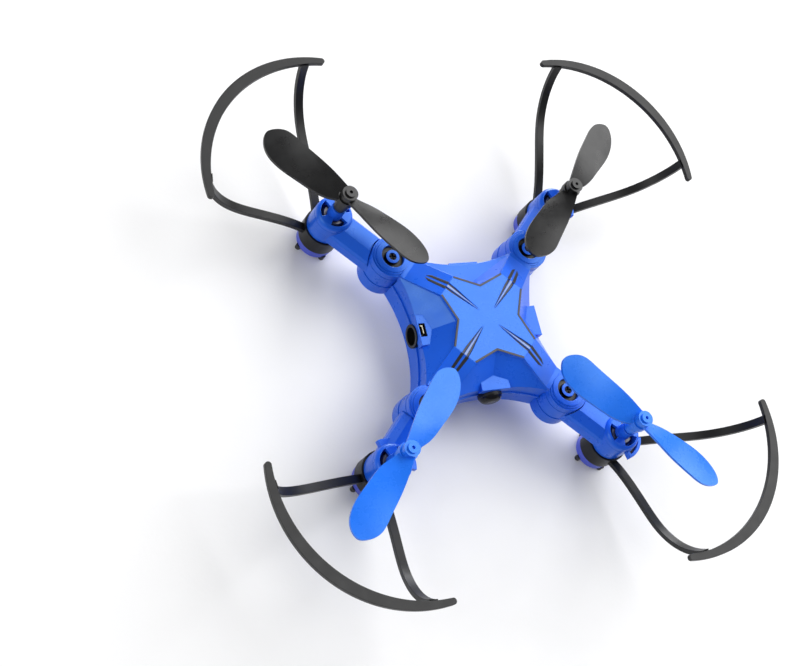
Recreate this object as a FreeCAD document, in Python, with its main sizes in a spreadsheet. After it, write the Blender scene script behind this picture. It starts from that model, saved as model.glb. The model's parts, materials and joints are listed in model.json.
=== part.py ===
import FreeCAD, Part
import math
import os
import Sketcher

# A folding palm-size four-rotor drone. The origin is under the middle of the body, on the
# plane of the four feet. +Z is up, -Y is the front, +X is the aircraft's left.

doc = FreeCAD.newDocument("palm_drone")
sheet = doc.addObject("Spreadsheet::Sheet", "Dims")

DIMENSIONS = [
    # body
    ("top_height", 19.6),
    ("seam_height", 11.0),
    ("floor_height", 5.6),
    ("shell_wall", 1.2),
    ("side_half", 15.2),
    ("side_end_x", 13.2),
    ("side_end_y", 17.6),
    ("lip_width", 0.35),
    ("lip_height", 0.7),
    # the star plate let into the top
    ("star_valley", 8.18),
    ("star_tip", 12.37),
    ("star_spread", 14.7),
    ("star_thick", 0.8),
    ("roof_slope", 1.0),
    ("deck_start", 10.1),
    ("deck_drop", 3.2),
    ("dart_outer", 12.0),
    ("dart_inner", 2.6),
    ("dart_width", 1.35),
    ("dart_depth", 0.35),
    # hinges
    ("hinge_offset", 18.15),
    ("lug_radius", 5.0),
    ("lug_top", 15.7),
    ("lug_thick", 2.1),
    ("barrel_radius", 5.2),
    ("barrel_top", 9.45),
    ("eye_gap", 0.1),
    ("pin_radius", 1.0),
    ("pin_fit", 0.05),
    ("pin_head_radius", 1.7),
    ("pin_recess_radius", 2.8),
    # arms
    ("arm_length", 16.5),
    ("arm_half", 4.0),
    ("arm_top_half", 2.1),
    ("arm_bottom_half", 3.3),
    ("arm_top", 14.9),
    ("arm_split", 12.0),
    ("arm_bottom", 8.6),
    ("pod_radius", 4.5),
    ("ear_inner", 4.2),
    ("ear_outer", 6.1),
    ("ear_rise", 1.4),
    ("ear_slot_inner", 4.7),
    ("ear_slot_outer", 5.35),
    ("ear_slot_floor", 0.4),
    ("ear_slot_rise", 1.0),
    ("window_inner", 1.85),
    ("window_outer", 3.55),
    ("window_half", 36.0),
    ("window_drop", 1.8),
    ("neck_radius", 1.0),
    ("boss_bore", 0.58),
    ("pod_top", 15.8),
    ("pod_bottom", 8.6),
    ("pod_neck", 4.0),
    ("boss_radius", 1.75),
    ("boss_rise", 2.7),
    ("foot_top", 3.85),
    ("foot_bottom", 0.7),
    ("foot_radius", 4.6),
    ("pad_radius", 0.7),
    ("pad_circle", 4.3),
    # motors and propellers
    ("motor_radius", 3.0),
    ("motor_bottom", 2.9),
    ("motor_top", 14.9),
    ("shaft_radius", 0.5),
    ("shaft_top", 25.1),
    ("hub_radius", 1.85),
    ("hub_bottom", 20.2),
    ("skirt_bottom", 18.7),
    ("hub_top", 26.03),
    ("blade_height", 23.0),
    ("blade_reach", 23.0),
    ("blade_thick", 0.7),
    # guards
    ("guard_offset", 5.2),
    ("guard_outer", 30.13),
    ("guard_inner", 27.56),
    ("guard_taper", 3.2),
    ("guard_half_angle", 52.0),
    ("guard_top", 27.25),
    ("guard_thick", 1.05),
    ("clip_outer", 4.95),
    ("clip_fit", 0.05),
    ("strut_angle", 37.5),
    ("strut_width", 1.9),
    ("strut_thick", 1.4),
    # things in the body walls
    ("port_height", 11.0),
    ("port_radius", 2.8),
    ("tab_top", 14.8),
    ("tab_apex", 12.2),
    ("tab_shoulder", 13.7),
    ("tab_edge", 15.9),
    ("tab_half", 3.6),
    # inside
    ("bay_half", 12.9),
    ("post_offset", 10.6),
    ("post_radius", 1.5),
    ("thread_radius", 0.6),
    ("screw_head_radius", 1.1),
    ("board_half", 12.4),
    ("board_bottom", 11.4),
    ("board_thick", 0.8),
]

for row, (alias, size) in enumerate(DIMENSIONS, start=1):
    sheet.set("A%d" % row, alias)
    sheet.set("B%d" % row, str(size))
    sheet.setAlias("B%d" % row, alias)
doc.recompute()

CORNERS = [
    ("rear_left", 45.0),
    ("rear_right", 135.0),
    ("front_right", 225.0),
    ("front_left", 315.0),
]
# each propeller's place in its turn, and whether it turns clockwise seen from above
PROPELLERS = {
    "rear_left": (48.2, False),
    "rear_right": (132.3, True),
    "front_right": (48.2, False),
    "front_left": (131.6, True),
}
# how far round the pod's cover its first window sits
WINDOW_TURN = {"rear_left": 105.0, "rear_right": 20.0, "front_right": 46.0, "front_left": 100.0}
# the small ears that stand out of the pods: how far round each sits and half its width; the
# wide ones are slotted
EARS = [
    ("rear_left", -38.0, 32.0),
    ("front_left", 0.0, 32.0),
    ("front_right", 134.0, 16.0),
    ("front_right", -134.0, 16.0),
]
WIDE_EAR = 20.0
# the solid ends of a slotted ear, in degrees
EAR_SLOT_END = 8.0
PARTS = []


def dim(name):
    """The value of one driving dimension."""
    return float(sheet.get(name))


def bind(thing, prop, formula):
    """Ties a property to the sheet: every bare name in the formula is a cell's alias."""
    words = []
    word = ""
    for letter in formula + " ":
        if letter.isalpha() or letter == "_" or (word and letter.isdigit()):
            word += letter
            continue
        if word in KNOWN:
            word = "Dims." + word
        words.append(word + letter)
        word = ""
    thing.setExpression(prop, "".join(words).strip())


KNOWN = {alias for alias, size in DIMENSIONS}


def evaluate(formula):
    """The present value of a formula in the sheet's aliases, which are plain numbers."""
    probe = doc.getObject("Probe")
    if probe is None:
        probe = doc.addObject("App::FeaturePython", "Probe")
        probe.addProperty("App::PropertyFloat", "Number")
    bind(probe, "Number", formula)
    probe.recompute()
    return probe.Number


def body_named(label):
    """A new PartDesign body, kept as a sub-part."""
    body = doc.addObject("PartDesign::Body", label)
    body.Label = label
    PARTS.append(body)
    return body


def sketch_on(body, role, lift=None, turn=None):
    """A sketch on one of the body's own planes, lifted along its normal and turned about Z."""
    sketch = body.newObject("Sketcher::SketchObject", "Sketch")
    plane = next(f for f in body.Origin.OriginFeatures if f.Role == role)
    sketch.AttachmentSupport = [(plane, "")]
    sketch.MapMode = "FlatFace"
    if turn:
        axis = FreeCAD.Vector(0, 0, 1) if role == "XY_Plane" else FreeCAD.Vector(0, 1, 0)
        sketch.AttachmentOffset = FreeCAD.Placement(
            FreeCAD.Vector(), FreeCAD.Rotation(axis, turn)
        )
    if lift:
        bind(sketch, "AttachmentOffset.Base.z", lift)
    return sketch


def pin_point(sketch, geometry, end, across, up):
    """Holds a point of a sketch at two formulas' distances from the sketch's origin."""
    for kind, formula in (("DistanceX", across), ("DistanceY", up)):
        value = evaluate(formula)
        if abs(value) < 1e-9:
            on_axis = -2 if kind == "DistanceX" else -1
            sketch.addConstraint(Sketcher.Constraint("PointOnObject", geometry, end, on_axis))
            continue
        index = sketch.addConstraint(
            Sketcher.Constraint(kind, -1, 1, geometry, end, value)
        )
        bind(sketch, "Constraints[%d]" % index, formula)


def add_circle(sketch, across, up, radius):
    """A circle whose centre and radius are formulas."""
    centre = FreeCAD.Vector(evaluate(across), evaluate(up), 0)
    size = evaluate(radius)
    index = sketch.addGeometry(Part.Circle(centre, FreeCAD.Vector(0, 0, 1), size), False)
    number = sketch.addConstraint(Sketcher.Constraint("Radius", index, size))
    bind(sketch, "Constraints[%d]" % number, radius)
    pin_point(sketch, index, 3, across, up)


def add_polygon(sketch, corners):
    """A closed polygon; each corner is a pair of formulas."""
    points = [FreeCAD.Vector(evaluate(a), evaluate(b), 0) for a, b in corners]
    first = sketch.GeometryCount
    for number, point in enumerate(points):
        sketch.addGeometry(Part.LineSegment(point, points[(number + 1) % len(points)]), False)
    for number in range(len(points)):
        here = first + number
        following = first + (number + 1) % len(points)
        sketch.addConstraint(Sketcher.Constraint("Coincident", here, 2, following, 1))
    for number, (a, b) in enumerate(corners):
        pin_point(sketch, first + number, 1, a, b)


def add_box(sketch, left, right, low, high):
    """A rectangle between four formulas."""
    add_polygon(sketch, [(left, low), (right, low), (right, high), (left, high)])


def add_loop(sketch, points):
    """A smooth closed curve through points."""
    curve = Part.BSplineCurve()
    curve.interpolate([FreeCAD.Vector(x, y, 0) for x, y in points], PeriodicFlag=True)
    sketch.addGeometry(curve, False)


def feature(body, kind, sketch, length=None, **settings):
    """A sketch-based feature of the body, whose length is a formula."""
    made = body.newObject("PartDesign::" + kind, kind)
    made.Profile = sketch
    for name, value in settings.items():
        setattr(made, name, value)
    if length:
        bind(made, "Length", length)
    doc.recompute()
    return made


def pad(body, sketch, length, **settings):
    return feature(body, "Pad", sketch, length, **settings)


def pocket(body, sketch, length, **settings):
    """A pocket that must take something away."""
    before = body.Shape.Volume
    made = feature(body, "Pocket", sketch, length, **settings)
    if body.Shape.Volume > before - 1e-6:
        raise ValueError("a pocket in %s cuts nothing" % body.Label)
    return made


def around(body, features, count):
    """Repeats features around Z."""
    pattern = body.newObject("PartDesign::PolarPattern", "PolarPattern")
    pattern.Originals = features
    pattern.Axis = (next(f for f in body.Origin.OriginFeatures if f.Role == "Z_Axis"), [""])
    pattern.Angle = 360
    pattern.Occurrences = count
    body.Tip = pattern
    doc.recompute()
    return pattern


def slab(body, low, high, draw, cut=False):
    """A pad or pocket between two heights, of what draw puts in its sketch."""
    sketch = sketch_on(body, "XY_Plane", low)
    draw(sketch)
    length = "(%s) - (%s)" % (high, low)
    if cut:
        return pocket(body, sketch, length, Reversed=True)
    return pad(body, sketch, length)


def disc(body, low, high, radius, across="0", up="0", cut=False):
    """A round slab."""
    return slab(body, low, high, lambda s: add_circle(s, across, up, radius), cut)


def ease(body, kind, prop, size, chosen):
    """Rounds or bevels the edges that a test picks out."""
    base = body.Tip
    names = [
        "Edge%d" % (number + 1) for number, edge in enumerate(base.Shape.Edges) if chosen(edge)
    ]
    if not names:
        raise ValueError("no edge of %s was picked out" % body.Label)
    made = body.newObject("PartDesign::" + kind, kind)
    made.Base = (base, names)
    bind(made, prop, size)
    body.Tip = made
    doc.recompute()
    return made


def block(body, low, high, left, right, front, rear, cut=False):
    """A rectangular slab."""
    return slab(body, low, high, lambda s: add_box(s, left, right, front, rear), cut)


# ---------------------------------------------------------------- body shells


def side_outline(sketch, grow="0"):
    """The body seen from above: four hollow sides that meet inside the round corner lugs."""
    ends = []
    for turn in range(4):
        angle = math.radians(90 * turn)
        for across in (dim("side_end_x"), -dim("side_end_x")):
            up = dim("side_end_y") + evaluate(grow)
            ends.append(
                FreeCAD.Vector(
                    across * math.cos(angle) - up * math.sin(angle),
                    across * math.sin(angle) + up * math.cos(angle),
                    0,
                )
            )
    for turn in range(4):
        angle = math.radians(90 * turn)
        up = dim("side_half") + evaluate(grow)
        middle = FreeCAD.Vector(-up * math.sin(angle), up * math.cos(angle), 0)
        start, stop = ends[2 * turn], ends[2 * turn + 1]
        sketch.addGeometry(Part.Arc(stop, middle, start), False)
        sketch.addGeometry(Part.LineSegment(stop, ends[(2 * turn + 2) % 8]), False)
    for turn in range(4):
        arc, line, next_arc = 2 * turn, 2 * turn + 1, (2 * turn + 2) % 8
        sketch.addConstraint(Sketcher.Constraint("Coincident", arc, 1, line, 1))
        sketch.addConstraint(Sketcher.Constraint("Coincident", line, 2, next_arc, 2))


def star_points():
    """The star plate's twelve corners: four valleys and four blunt tips."""
    points = []
    for turn in range(4):
        base = 90 * turn
        points.append(("star_valley", base))
        points.append(("star_tip", base + 45 - dim("star_spread")))
        points.append(("star_tip", base + 45 + dim("star_spread")))
    made = []
    for name, degrees in points:
        angle = math.radians(degrees)
        made.append(("%s * %.9f" % (name, math.cos(angle)), "%s * %.9f" % (name, math.sin(angle))))
    return made


def solid_of(faces):
    """A solid from flat polygons."""
    made = []
    for corners in faces:
        vectors = [FreeCAD.Vector(*c) for c in corners]
        made.append(Part.Face(Part.makePolygon(vectors + vectors[:1])))
    solid = Part.Solid(Part.Shell(made))
    if solid.Volume < 0:
        solid.reverse()
    return solid


def roof_valley(deck):
    """The space over one side of the roof: two slopes that meet in a crease from the star's
    valley, or, with a deck, two narrow slopes and a gently falling triangle between them."""
    spread = math.radians(45 - dim("star_spread"))
    tip = (dim("star_tip") * math.sin(spread), dim("star_tip") * math.cos(spread))
    valley = (0.0, dim("star_valley"))
    top = dim("top_height") - dim("star_thick")
    slope = dim("roof_slope")
    run = math.hypot(tip[0], tip[1] - valley[1])
    normal = (-(tip[1] - valley[1]) / run, tip[0] / run)
    high = top + 8.0
    far = 26.0

    def height(x, y):
        return top - slope * (normal[0] * abs(x) + normal[1] * (y - valley[1]))

    end = (dim("side_end_x"), dim("side_end_y"))
    reach = (far - tip[1]) / (end[1] - tip[1])
    outer = (tip[0] + reach * (end[0] - tip[0]), far)
    faces = []
    rim = [valley, tip, outer, (-outer[0], far), (-tip[0], tip[1])]
    faces.append([(x, y, high) for x, y in rim])
    if deck:
        start = (0.0, dim("deck_start"))
        low_start = top - dim("deck_drop")
        low_end = height(*end)
        fall = (low_end - low_start) / (end[1] - start[1])
        low_far = low_start + fall * (far - start[1])
        # the deck meets each slope along the line from its start to the end of the side
        for way in (1, -1):
            faces.append(
                [
                    (0.0, valley[1], height(*valley)),
                    (way * tip[0], tip[1], height(*tip)),
                    (0.0, start[1], low_start),
                ]
            )
            faces.append(
                [
                    (way * tip[0], tip[1], height(*tip)),
                    (way * end[0], end[1], low_end),
                    (0.0, start[1], low_start),
                ]
            )
            faces.append(
                [
                    (way * tip[0], tip[1], height(*tip)),
                    (way * tip[0], tip[1], high),
                    (way * outer[0], far, high),
                    (way * outer[0], far, low_far),
                    (way * end[0], end[1], low_end),
                ]
            )
        faces.append(
            [
                (0.0, start[1], low_start),
                (end[0], end[1], low_end),
                (outer[0], far, low_far),
                (-outer[0], far, low_far),
                (-end[0], end[1], low_end),
            ]
        )
        faces.append(
            [
                (-outer[0], far, low_far),
                (outer[0], far, low_far),
                (outer[0], far, high),
                (-outer[0], far, high),
            ]
        )
    else:
        middle = (0.0, far)
        for way in (1, -1):
            faces.append(
                [
                    (0.0, valley[1], height(*valley)),
                    (way * tip[0], tip[1], height(*tip)),
                    (way * outer[0], far, height(*outer)),
                    (0.0, far, height(*middle)),
                ]
            )
            faces.append(
                [
                    (way * tip[0], tip[1], height(*tip)),
                    (way * tip[0], tip[1], high),
                    (way * outer[0], far, high),
                    (way * outer[0], far, height(*outer)),
                ]
            )
        faces.append(
            [
                (0.0, far, height(*middle)),
                (outer[0], far, height(*outer)),
                (outer[0], far, high),
                (-outer[0], far, high),
                (-outer[0], far, height(*outer)),
            ]
        )
    for way in (1, -1):
        faces.append(
            [
                (0.0, valley[1], height(*valley)),
                (way * tip[0], tip[1], height(*tip)),
                (way * tip[0], tip[1], high),
                (0.0, valley[1], high),
            ]
        )
    return solid_of(faces)


def at_corner(body, low, high, radius, cut=False):
    """A round slab on each of the four hinge axes."""
    first = disc(body, low, high, radius, "hinge_offset", "hinge_offset", cut)
    return around(body, [first], 4)


def at_posts(body, low, high, radius, cut=False):
    """A round slab at each of the four screw posts."""
    first = disc(body, low, high, radius, "post_offset", "post_offset", cut)
    return around(body, [first], 4)


def helper_body(label):
    """A body that is only used to shape a sub-part."""
    return doc.addObject("PartDesign::Body", label)


def combine(kind, label, base, tool):
    """A boolean of two solids: Cut or Fuse."""
    made = doc.addObject("Part::" + kind, label)
    made.Base = base
    made.Tool = tool
    return made


def make_openings(label, eye_low, eye_high):
    """What both shells leave open: the round ports in the walls and the room for arm eyes."""
    body = helper_body(label)
    port = sketch_on(body, "XZ_Plane", "side_half - 2.6")
    add_circle(port, "0", "port_height", "port_radius")
    through = pad(body, port, "7.5")
    around(body, [through], 4)
    at_corner(body, eye_low, eye_high, "barrel_radius + eye_gap")
    return body


def make_upper_shell():
    """The faceted top half of the body, with a lug over each hinge and tabs over the ports."""
    body = helper_body("upper_shell_blank")
    slab(body, "seam_height", "top_height", side_outline)
    # inside: a wide low room and a smaller one under the star
    block(
        body, "seam_height", "seam_height + 1.7", "-bay_half", "bay_half", "-bay_half", "bay_half",
        cut=True,
    )
    block(body, "seam_height + 1.7", "top_height - 3.4", "-8.2", "8.2", "-8.2", "8.2", cut=True)
    # the neck between the star's tip and the lug falls away, and nothing stands above the lug
    profile = sketch_on(body, "XZ_Plane", turn=45)
    tip = "star_tip * %.9f" % math.cos(math.radians(dim("star_spread")))
    lug = "hinge_offset * 1.41421356 - lug_radius"
    add_polygon(
        profile,
        [
            (tip, "top_height"),
            (lug, "lug_top"),
            ("40", "lug_top"),
            ("40", "top_height + 9"),
            (tip, "top_height + 9"),
        ],
    )
    neck = pocket(body, profile, "24", Midplane=True)
    around(body, [neck], 4)
    slab(
        body,
        "top_height - star_thick",
        "top_height",
        lambda s: add_polygon(s, star_points()),
        cut=True,
    )
    at_posts(body, "board_bottom + board_thick", "seam_height + 1.8", "post_radius")
    at_posts(body, "seam_height", "seam_height + 3.4", "thread_radius", cut=True)
    # the dark double dart runs on from the star plate down each neck
    dart = sketch_on(body, "XY_Plane", "top_height", turn=45)
    for way in ("", "-"):
        add_polygon(
            dart,
            [
                ("dart_outer", way + "0.35"),
                ("dart_outer + 5.2", way + "0.32"),
                ("dart_outer + 4.0", way + "0.80"),
                ("dart_outer", way + "0.95"),
            ],
        )
    lines = pocket(body, dart, "2.6")
    around(body, [lines], 4)

    solid = body
    for number, label in enumerate(("rear", "right", "front", "left")):
        cutter = doc.addObject("Part::Feature", "roof_valley_" + label)
        cutter.Shape = roof_valley(label == "rear")
        cutter.Placement = FreeCAD.Placement(
            FreeCAD.Vector(), FreeCAD.Rotation(FreeCAD.Vector(0, 0, 1), 90 * number)
        )
        solid = combine("Cut", "shell_less_" + label, solid, cutter)

    extras = helper_body("lugs_and_tabs")
    outline = sketch_on(extras, "XY_Plane", "seam_height + 1.7")
    add_polygon(
        outline,
        [
            ("0", "-tab_apex"),
            ("tab_half", "-tab_shoulder"),
            ("tab_half + 0.15", "-tab_edge"),
            ("-tab_half - 0.15", "-tab_edge"),
            ("-tab_half", "-tab_shoulder"),
        ],
    )
    first = pad(extras, outline, "tab_top - seam_height - 1.7")
    around(extras, [first], 4)
    at_corner(extras, "lug_top - lug_thick", "lug_top - 0.35", "lug_radius")
    at_corner(extras, "lug_top - 0.35", "lug_top - 0.1", "lug_radius - 0.45")
    at_corner(extras, "lug_top - 0.1", "lug_top + 0.15", "lug_radius - 0.95")
    joined = combine("Fuse", "shell_with_lugs", solid, extras)

    openings = make_openings("upper_openings", "seam_height - 1", "lug_top - lug_thick")
    at_corner(openings, "lug_top - lug_thick - 0.5", "lug_top + 1", "pin_radius")
    at_corner(openings, "lug_top - 1.1", "lug_top + 1", "pin_recess_radius")
    # the charging contact shows through a slit in the right-hand tab, over the socket
    block(
        openings, "tab_top - 1.6", "tab_top + 1", "-tab_edge + 0.3", "-tab_edge + 1.9", "-1.6",
        "1.6",
    )
    shell = combine("Cut", "upper_shell", joined, openings)
    doc.recompute()
    PARTS.append(shell)


def make_lower_shell():
    """The bottom half: a tray with a lip at the seam, a barrel under each hinge and posts."""
    body = helper_body("lower_shell_blank")
    slab(body, "floor_height", "seam_height", side_outline)
    slab(
        body,
        "seam_height - lip_height",
        "seam_height",
        lambda s: side_outline(s, "lip_width"),
    )
    at_corner(body, "floor_height", "floor_height + 0.45", "barrel_radius - 0.4")
    at_corner(body, "floor_height + 0.45", "barrel_top", "barrel_radius")
    block(
        body, "floor_height + shell_wall", "seam_height", "-bay_half", "bay_half", "-bay_half", "bay_half",
        cut=True,
    )
    at_posts(body, "floor_height + 0.5", "board_bottom", "post_radius")
    at_posts(body, "floor_height", "board_bottom", "thread_radius", cut=True)
    at_posts(body, "floor_height", "floor_height + 0.6", "screw_head_radius + 0.05", cut=True)
    # cooling slots in the floor
    slot = sketch_on(body, "XY_Plane", "floor_height")
    for number in range(3):
        across = "%.1f" % (number * 3.0 - 3.0)
        add_box(slot, across + " - 0.5", across + " + 0.5", "-5", "5")
    pocket(body, slot, "shell_wall", Reversed=True)
    openings = make_openings("lower_openings", "barrel_top", "seam_height + 1")
    at_corner(openings, "barrel_top - 2.9", "barrel_top + 1", "pin_radius")
    shell = combine("Cut", "lower_shell", body, openings)
    doc.recompute()
    PARTS.append(shell)


def make_star_plate():
    """The raised plate with four blunt points, let into the roof, with darts cut in its face."""
    body = body_named("star_plate")
    slab(body, "top_height - star_thick", "top_height", lambda s: add_polygon(s, star_points()))
    dart = sketch_on(body, "XY_Plane", "top_height", turn=45)
    for way in ("", "-"):
        add_polygon(
            dart,
            [
                ("dart_inner", way + "0.12"),
                ("dart_outer + 0.5", way + "0.35"),
                ("dart_outer + 0.5", way + "0.95"),
                ("dart_outer - 2", way + "0.88"),
            ],
        )
    lines = pocket(body, dart, "dart_depth")
    around(body, [lines], 4)


def make_inside():
    """The board, its chips, the battery and the screws that hold the shells together."""
    body = body_named("main_board")
    block(
        body, "board_bottom", "board_bottom + board_thick", "-board_half", "board_half",
        "-board_half", "board_half",
    )
    at_posts(body, "board_bottom", "board_bottom + board_thick", "thread_radius + 0.02", cut=True)

    body = body_named("board_chips")
    top = "board_bottom + board_thick"
    for left, front, wide, deep, tall in (
        (-5.5, -4.0, 5.0, 5.0, 0.9),
        (1.5, -1.5, 4.0, 4.0, 0.9),
        (-4.5, 3.5, 3.0, 3.0, 1.0),
        (1.8, -6.6, 3.2, 2.5, 2.0),
    ):
        block(
            body, top, "%s + %s" % (top, tall), str(left), str(left + wide), str(front),
            str(front + deep),
        )

    body = body_named("battery")
    block(body, "floor_height + shell_wall", "board_bottom - 0.3", "-8.6", "8.6", "-11.6", "11.6")
    ease(body, "Fillet", "Radius", "1.2", lambda edge: edge.BoundBox.YLength > 20)

    body = body_named("body_screws")
    at_posts(body, "floor_height + 0.1", "floor_height + 0.6", "screw_head_radius")
    at_posts(body, "floor_height + 0.6", "seam_height + 3.3", "thread_radius")
    for wide, deep in (("0.65", "0.15"), ("0.15", "0.65")):
        cross = sketch_on(body, "XY_Plane", "floor_height + 0.1")
        add_box(
            cross, "post_offset - " + wide, "post_offset + " + wide, "post_offset - " + deep,
            "post_offset + " + deep,
        )
        around(body, [pocket(body, cross, "0.3", Reversed=True)], 4)


def make_hinge_screws():
    """A screw down each hinge axis: the arm turns on its plain shank."""
    body = body_named("hinge_screws")
    at_corner(body, "barrel_top - 2.9", "lug_top - 1.1", "pin_radius")
    at_corner(body, "lug_top - 1.1", "lug_top - 0.15", "pin_head_radius")
    for wide, deep in (("1.1", "0.22"), ("0.22", "1.1")):
        cross = sketch_on(body, "XY_Plane", "lug_top - 0.15")
        add_box(
            cross, "hinge_offset - " + wide, "hinge_offset + " + wide, "hinge_offset - " + deep,
            "hinge_offset + " + deep,
        )
        around(body, [pocket(body, cross, "0.45")], 4)


# ---------------------------------------------------------------- arms


def place(thing, corner, along="0"):
    """Puts a piece, drawn pointing along X from its own axis, at one corner of the body."""
    angle = dict(CORNERS)[corner]
    hinge = dim("hinge_offset") * math.sqrt(2) + evaluate(along)
    turn = FreeCAD.Rotation(FreeCAD.Vector(0, 0, 1), angle)
    thing.Placement = FreeCAD.Placement(turn.multVec(FreeCAD.Vector(hinge, 0, 0)), turn)


def beam_profile(body, corners, start, length):
    """A bar along X with the given section, from start."""
    sketch = sketch_on(body, "YZ_Plane", start)
    add_polygon(sketch, corners)
    return pad(body, sketch, length)


def make_arm_lower(corner):
    """The arm's bottom half: the eye on the hinge, the beam's underside and the motor pod."""
    body = body_named("arm_lower_" + corner)
    eye_top = "lug_top - lug_thick - eye_gap"
    disc(body, "barrel_top + eye_gap", eye_top, "lug_radius + 0.05")
    block(body, "barrel_top + eye_gap", "arm_split", "0", "arm_length", "-arm_half", "arm_half")
    beam_profile(
        body,
        [
            ("-arm_half", "arm_split"),
            ("-arm_bottom_half", "arm_bottom"),
            ("arm_bottom_half", "arm_bottom"),
            ("arm_half", "arm_split"),
        ],
        "barrel_radius + 0.5",
        "arm_length - barrel_radius - 0.5",
    )
    disc(body, "pod_bottom", "arm_split", "pod_radius", "arm_length")
    disc(body, "foot_top", "pod_bottom", "pod_neck", "arm_length")
    disc(body, "foot_top", "arm_split", "motor_radius + 0.05", "arm_length", cut=True)
    disc(body, "barrel_top + eye_gap", eye_top, "pin_radius + pin_fit", cut=True)
    # the wires to the motor run in a trough inside the beam
    block(
        body, "arm_split - 1.4", "arm_split", "lug_radius + 0.6", "arm_length - 2", "-1.2", "1.2",
        cut=True,
    )
    place(body, corner)


def add_band(sketch, inner, outer, half, middle=0):
    """A piece of a flat ring round the pod's centre."""
    centre = FreeCAD.Vector(dim("arm_length"), 0, 0)
    up = FreeCAD.Vector(0, 0, 1)
    start, stop = math.radians(middle - half), math.radians(middle + half)
    first = sketch.GeometryCount
    for radius in (outer, inner):
        circle = Part.Circle(centre, up, radius)
        sketch.addGeometry(Part.ArcOfCircle(circle, start, stop), False)
    for angle in (start, stop):
        way = FreeCAD.Vector(math.cos(angle), math.sin(angle), 0)
        sketch.addGeometry(Part.LineSegment(centre + way * inner, centre + way * outer), False)
    for line, end in ((first + 2, 1), (first + 3, 2)):
        sketch.addConstraint(Sketcher.Constraint("Coincident", line, 1, first + 1, end))
        sketch.addConstraint(Sketcher.Constraint("Coincident", line, 2, first, end))


def make_arm_upper(corner):
    """The arm's top half: the bevelled beam and the pod's domed cover with its windows."""
    body = body_named("arm_upper_" + corner)
    beam_profile(
        body,
        [
            ("-arm_half", "arm_split"),
            ("arm_half", "arm_split"),
            ("arm_half - 0.35", "arm_split + 0.9"),
            ("arm_top_half", "arm_top"),
            ("-arm_top_half", "arm_top"),
            ("-arm_half + 0.35", "arm_split + 0.9"),
        ],
        "0",
        "arm_length",
    )
    disc(body, "arm_split", "arm_top - 0.9", "pod_radius", "arm_length")
    disc(body, "arm_top - 0.9", "pod_top", "pod_radius - 0.05", "arm_length")
    ease(
        body,
        "Fillet",
        "Radius",
        "1.1",
        lambda edge: abs(edge.BoundBox.ZMin - dim("pod_top")) < 1e-4 and edge.Length > 6,
    )
    for place_of_ear, turn, half in EARS:
        if place_of_ear != corner:
            continue
        ear = sketch_on(body, "XY_Plane", "arm_split")
        add_band(ear, dim("ear_inner"), dim("ear_outer"), half, turn)
        pad(body, ear, "ear_rise")
        if half > WIDE_EAR:
            slot = sketch_on(body, "XY_Plane", "arm_split + ear_slot_floor")
            add_band(
                slot, dim("ear_slot_inner"), dim("ear_slot_outer"), half - EAR_SLOT_END, turn
            )
            pocket(body, slot, "ear_slot_rise", Reversed=True)
    disc(body, "arm_split", "arm_top + 0.05", "motor_radius + 0.05", "arm_length", cut=True)
    disc(body, "pod_top", "pod_top + boss_rise", "boss_radius", "arm_length")
    disc(body, "arm_top", "pod_top + 0.55", "neck_radius + 0.05", "arm_length", cut=True)
    disc(body, "pod_top + 0.55", "pod_top + boss_rise", "boss_bore", "arm_length", cut=True)
    disc(body, "arm_split", "pod_top", "barrel_radius + 0.05", cut=True)
    # three crescent windows round the motor's neck, which also bare the gap beside its can
    window = sketch_on(body, "XY_Plane", "arm_top - window_drop")
    for number in range(3):
        turn = WINDOW_TURN[corner] + 120 * number
        add_band(window, dim("window_inner"), dim("window_outer"), dim("window_half"), turn)
    pocket(body, window, "pod_top - arm_top + window_drop", Reversed=True)
    place(body, corner)


def make_motor(corner):
    """A small can motor standing in the pod, with its neck through the cover."""
    body = body_named("motor_" + corner)
    disc(body, "motor_bottom", "motor_top", "motor_radius")
    ease(
        body,
        "Chamfer",
        "Size",
        "0.5",
        lambda edge: edge.BoundBox.ZMin > dim("motor_top") - 1e-4,
    )
    disc(body, "motor_top", "pod_top + 0.5", "neck_radius")
    disc(body, "motor_bottom + 1", "pod_top + 0.5", "shaft_radius + 0.05", cut=True)
    place(body, corner, "arm_length")


# how far round its foot the first of the four pads sits
PAD_TURN = 60


def make_foot(corner):
    """The cap that closes the pod's foot, and the small soft pads it stands on."""
    body = body_named("foot_cap_" + corner)
    disc(body, "foot_bottom", "foot_top", "foot_radius")
    ease(
        body,
        "Chamfer",
        "Size",
        "0.6",
        lambda edge: edge.BoundBox.ZMax - dim("foot_bottom") < 1e-4,
    )
    disc(body, "motor_bottom", "foot_top", "motor_radius + 0.05", cut=True)
    notch = disc(body, "foot_bottom", "foot_bottom + 0.8", "pad_radius", "pad_circle", cut=True)
    around(body, [notch], 4)
    place(body, corner, "arm_length")
    turn_about_self(body, PAD_TURN)

    pads = body_named("foot_pads_" + corner)
    first = disc(pads, "0", "foot_bottom + 0.8", "pad_radius", "pad_circle")
    around(pads, [first], 4)
    place(pads, corner, "arm_length")
    turn_about_self(pads, PAD_TURN)


def turn_about_self(thing, degrees):
    """Turns a placed piece further about its own upright axis."""
    place_now = thing.Placement
    more = FreeCAD.Rotation(FreeCAD.Vector(0, 0, 1), degrees)
    thing.Placement = FreeCAD.Placement(place_now.Base, more.multiply(place_now.Rotation))


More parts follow.
